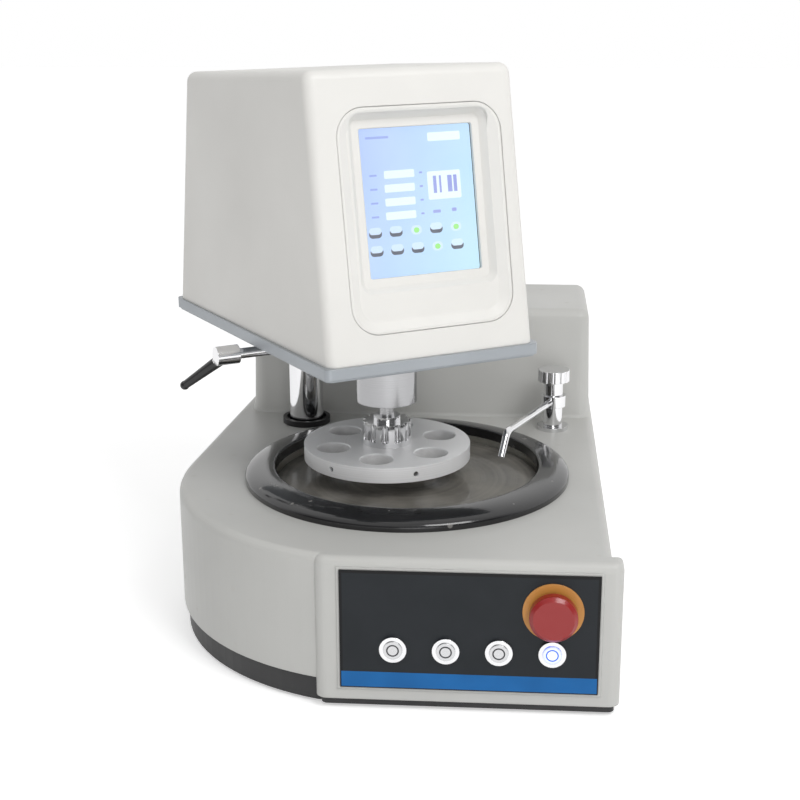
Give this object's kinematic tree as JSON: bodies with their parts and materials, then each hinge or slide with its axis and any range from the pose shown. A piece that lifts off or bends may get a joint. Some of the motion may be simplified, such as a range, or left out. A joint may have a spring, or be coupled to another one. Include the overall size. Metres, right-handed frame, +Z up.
{
  "type": "metallographic polishing machine",
  "caption": "Benchtop grinder-polisher: wet polishing disc in a D-shaped base, powered specimen head on a column with a tilted touch screen, water tap and front control panel.",
  "frame": {"origin": "centre of the bounding box's footprint, at the bench (underside of the feet)", "axes": "+X to the operator's right, +Y to the back, +Z up; the control panel faces -Y"},
  "size_m": [0.4381, 0.5879, 0.526],
  "materials": {
    "cream_shell": "satin moulded shell, warm white",
    "grey_shell": "satin moulded shell, light grey",
    "black_steel": "black powder coat",
    "grey_plate": "slate grey coat on a steel plate",
    "zinc_plate": "zinc-plated sheet",
    "steel": "machined steel",
    "chrome_plate": "polished plating",
    "cast_aluminium": "turned and fine-blasted",
    "bronze": "sintered bronze",
    "copper_pipe": "drawn copper pipe with a brass union",
    "white_plastic": "moulded liner",
    "black_gloss": "glossy black moulding",
    "black_plastic": "moulded black plastic",
    "grey_plastic": "grey plastic pipe and switch bodies",
    "panel_film": "dark charcoal faceplate with a blue stripe",
    "stop_red": "red plastic",
    "label_orange": "orange-yellow ring, bare",
    "button_steel": "turned cap",
    "button_blue": "lit blue lens",
    "rubber": "black rubber",
    "cloth": "used napped polishing cloth, grey-brown",
    "screen_glass": "clear cover glass"
  },
  "bodies": {
    "base": {"feet": "rubber", "base_pan": "black_steel", "casing": "grey_shell", "back_plate": "zinc_plate", "back_screws": "steel", "control_panel": "panel_film", "estop_label": "label_orange", "estop_block": "grey_plastic", "button_bezels": "chrome_plate", "basin": "white_plastic", "splash_ring": "black_gloss", "drain_pipe": "grey_plastic", "drive_deck": "black_steel", "bearing_housing": "cast_aluminium", "platen_bearings": "steel", "drive_belt": "rubber", "motor": "black_steel", "control_box": "black_steel", "power_inlet": "black_plastic", "water_pipe": "copper_pipe", "tap_body": "chrome_plate", "column_socket": "cast_aluminium", "column": "chrome_plate", "column_collar": "black_plastic"},
    "platen_rotor": {"platen": "cast_aluminium", "polishing_disc": "cloth", "platen_shaft": "steel", "platen_pulley": "cast_aluminium"},
    "motor_rotor": {"motor_pulley": "cast_aluminium"},
    "head": {"head_plate": "grey_plate", "head_cover": "cream_shell", "screen_bezel": "cream_shell", "screen_glass": "screen_glass", "screen_module": "black_plastic", "swing_hub": "steel", "swing_bushes": "bronze", "quill_sleeve": "chrome_plate", "quill_clamp": "steel", "pulley_bridge": "black_steel", "head_motor": "black_steel", "head_belt": "rubber", "load_cylinder": "cast_aluminium"},
    "head_pulley_rotor": {"head_pulley": "cast_aluminium"},
    "head_motor_rotor": {"head_motor_pulley": "cast_aluminium"},
    "quill_slide": {"quill": "steel", "quill_bearings": "steel", "load_yoke": "steel"},
    "spindle": {"spindle_shaft": "steel", "holder_hub": "chrome_plate", "specimen_holder": "cast_aluminium", "set_screws": "steel"},
    "lever": {"clamp_lever": "black_plastic"},
    "knob": {"tap_knob": "chrome_plate"},
    "spout": {"tap_spout": "chrome_plate"},
    "stop_stem": {"estop_stem": "grey_plastic"},
    "stop_head": {"estop_head": "stop_red"},
    "push_1": {"button_1": "button_steel"},
    "push_2": {"button_2": "button_steel"},
    "push_3": {"button_3": "button_steel"},
    "push_4": {"button_4": "button_blue"}
  },
  "joints": [
    {"name": "platen_spin", "type": "hinge", "parent": "base", "child": "platen_rotor", "pos_m": [0.024, -0.06, 0.12], "axis": [0, 0, 1], "continuous": true},
    {"name": "motor_spin", "type": "hinge", "parent": "base", "child": "motor_rotor", "pos_m": [0.054, 0.192, 0.06], "axis": [0, 0, 1], "continuous": true},
    {"name": "head_swing", "type": "hinge", "parent": "base", "child": "head", "pos_m": [-0.0952, 0.0995, 0.29], "axis": [0, 0, -1], "range_deg": [0, 90]},
    {"name": "spindle_feed", "type": "slide", "parent": "head", "child": "quill_slide", "axis": [0, 0, 1], "range_m": [-0.014, 0.01]},
    {"name": "holder_spin", "type": "hinge", "parent": "quill_slide", "child": "spindle", "pos_m": [0.00402, -0.04862, 0.2], "axis": [0, 0, 1], "continuous": true},
    {"name": "head_pulley_spin", "type": "hinge", "parent": "head", "child": "head_pulley_rotor", "pos_m": [0.00402, -0.04862, 0.34], "axis": [0, 0, 1], "continuous": true},
    {"name": "head_motor_spin", "type": "hinge", "parent": "head", "child": "head_motor_rotor", "pos_m": [-0.04434, 0.03315, 0.34], "axis": [0, 0, 1], "continuous": true},
    {"name": "clamp_turn", "type": "hinge", "parent": "head", "child": "lever", "pos_m": [-0.07863, -0.04638, 0.26], "axis": [0.8607, 0.509, 0], "range_deg": [-45, 45]},
    {"name": "tap_knob_turn", "type": "hinge", "parent": "base", "child": "knob", "pos_m": [0.166, 0.091, 0.197], "axis": [0, 0, 1], "range_deg": [0, 270]},
    {"name": "tap_spout_swing", "type": "hinge", "parent": "base", "child": "spout", "pos_m": [0.166, 0.091, 0.17], "axis": [0, 0, 1], "range_deg": [-5, 70]},
    {"name": "stop_press", "type": "slide", "parent": "base", "child": "stop_stem", "axis": [0, 1, 0], "range_m": [0, 0.004]},
    {"name": "stop_twist", "type": "hinge", "parent": "stop_stem", "child": "stop_head", "pos_m": [0.1612, -0.282, 0.0965], "axis": [0, -1, 0], "range_deg": [0, 30], "stiffness_Nm_per_rad": 0.05},
    {"name": "button_1_press", "type": "slide", "parent": "base", "child": "push_1", "axis": [0, 1, 0], "range_m": [0, 0.0015], "stiffness_N_per_m": 800},
    {"name": "button_2_press", "type": "slide", "parent": "base", "child": "push_2", "axis": [0, 1, 0], "range_m": [0, 0.0015], "stiffness_N_per_m": 800},
    {"name": "button_3_press", "type": "slide", "parent": "base", "child": "push_3", "axis": [0, 1, 0], "range_m": [0, 0.0015], "stiffness_N_per_m": 800},
    {"name": "button_4_press", "type": "slide", "parent": "base", "child": "push_4", "axis": [0, 1, 0], "range_m": [0, 0.0015], "stiffness_N_per_m": 800}
  ],
  "couplings": [
    {"joint": "motor_spin", "follows": "platen_spin", "ratio": 2},
    {"joint": "head_pulley_spin", "follows": "holder_spin", "ratio": 1},
    {"joint": "head_motor_spin", "follows": "holder_spin", "ratio": 1.4545}
  ]
}
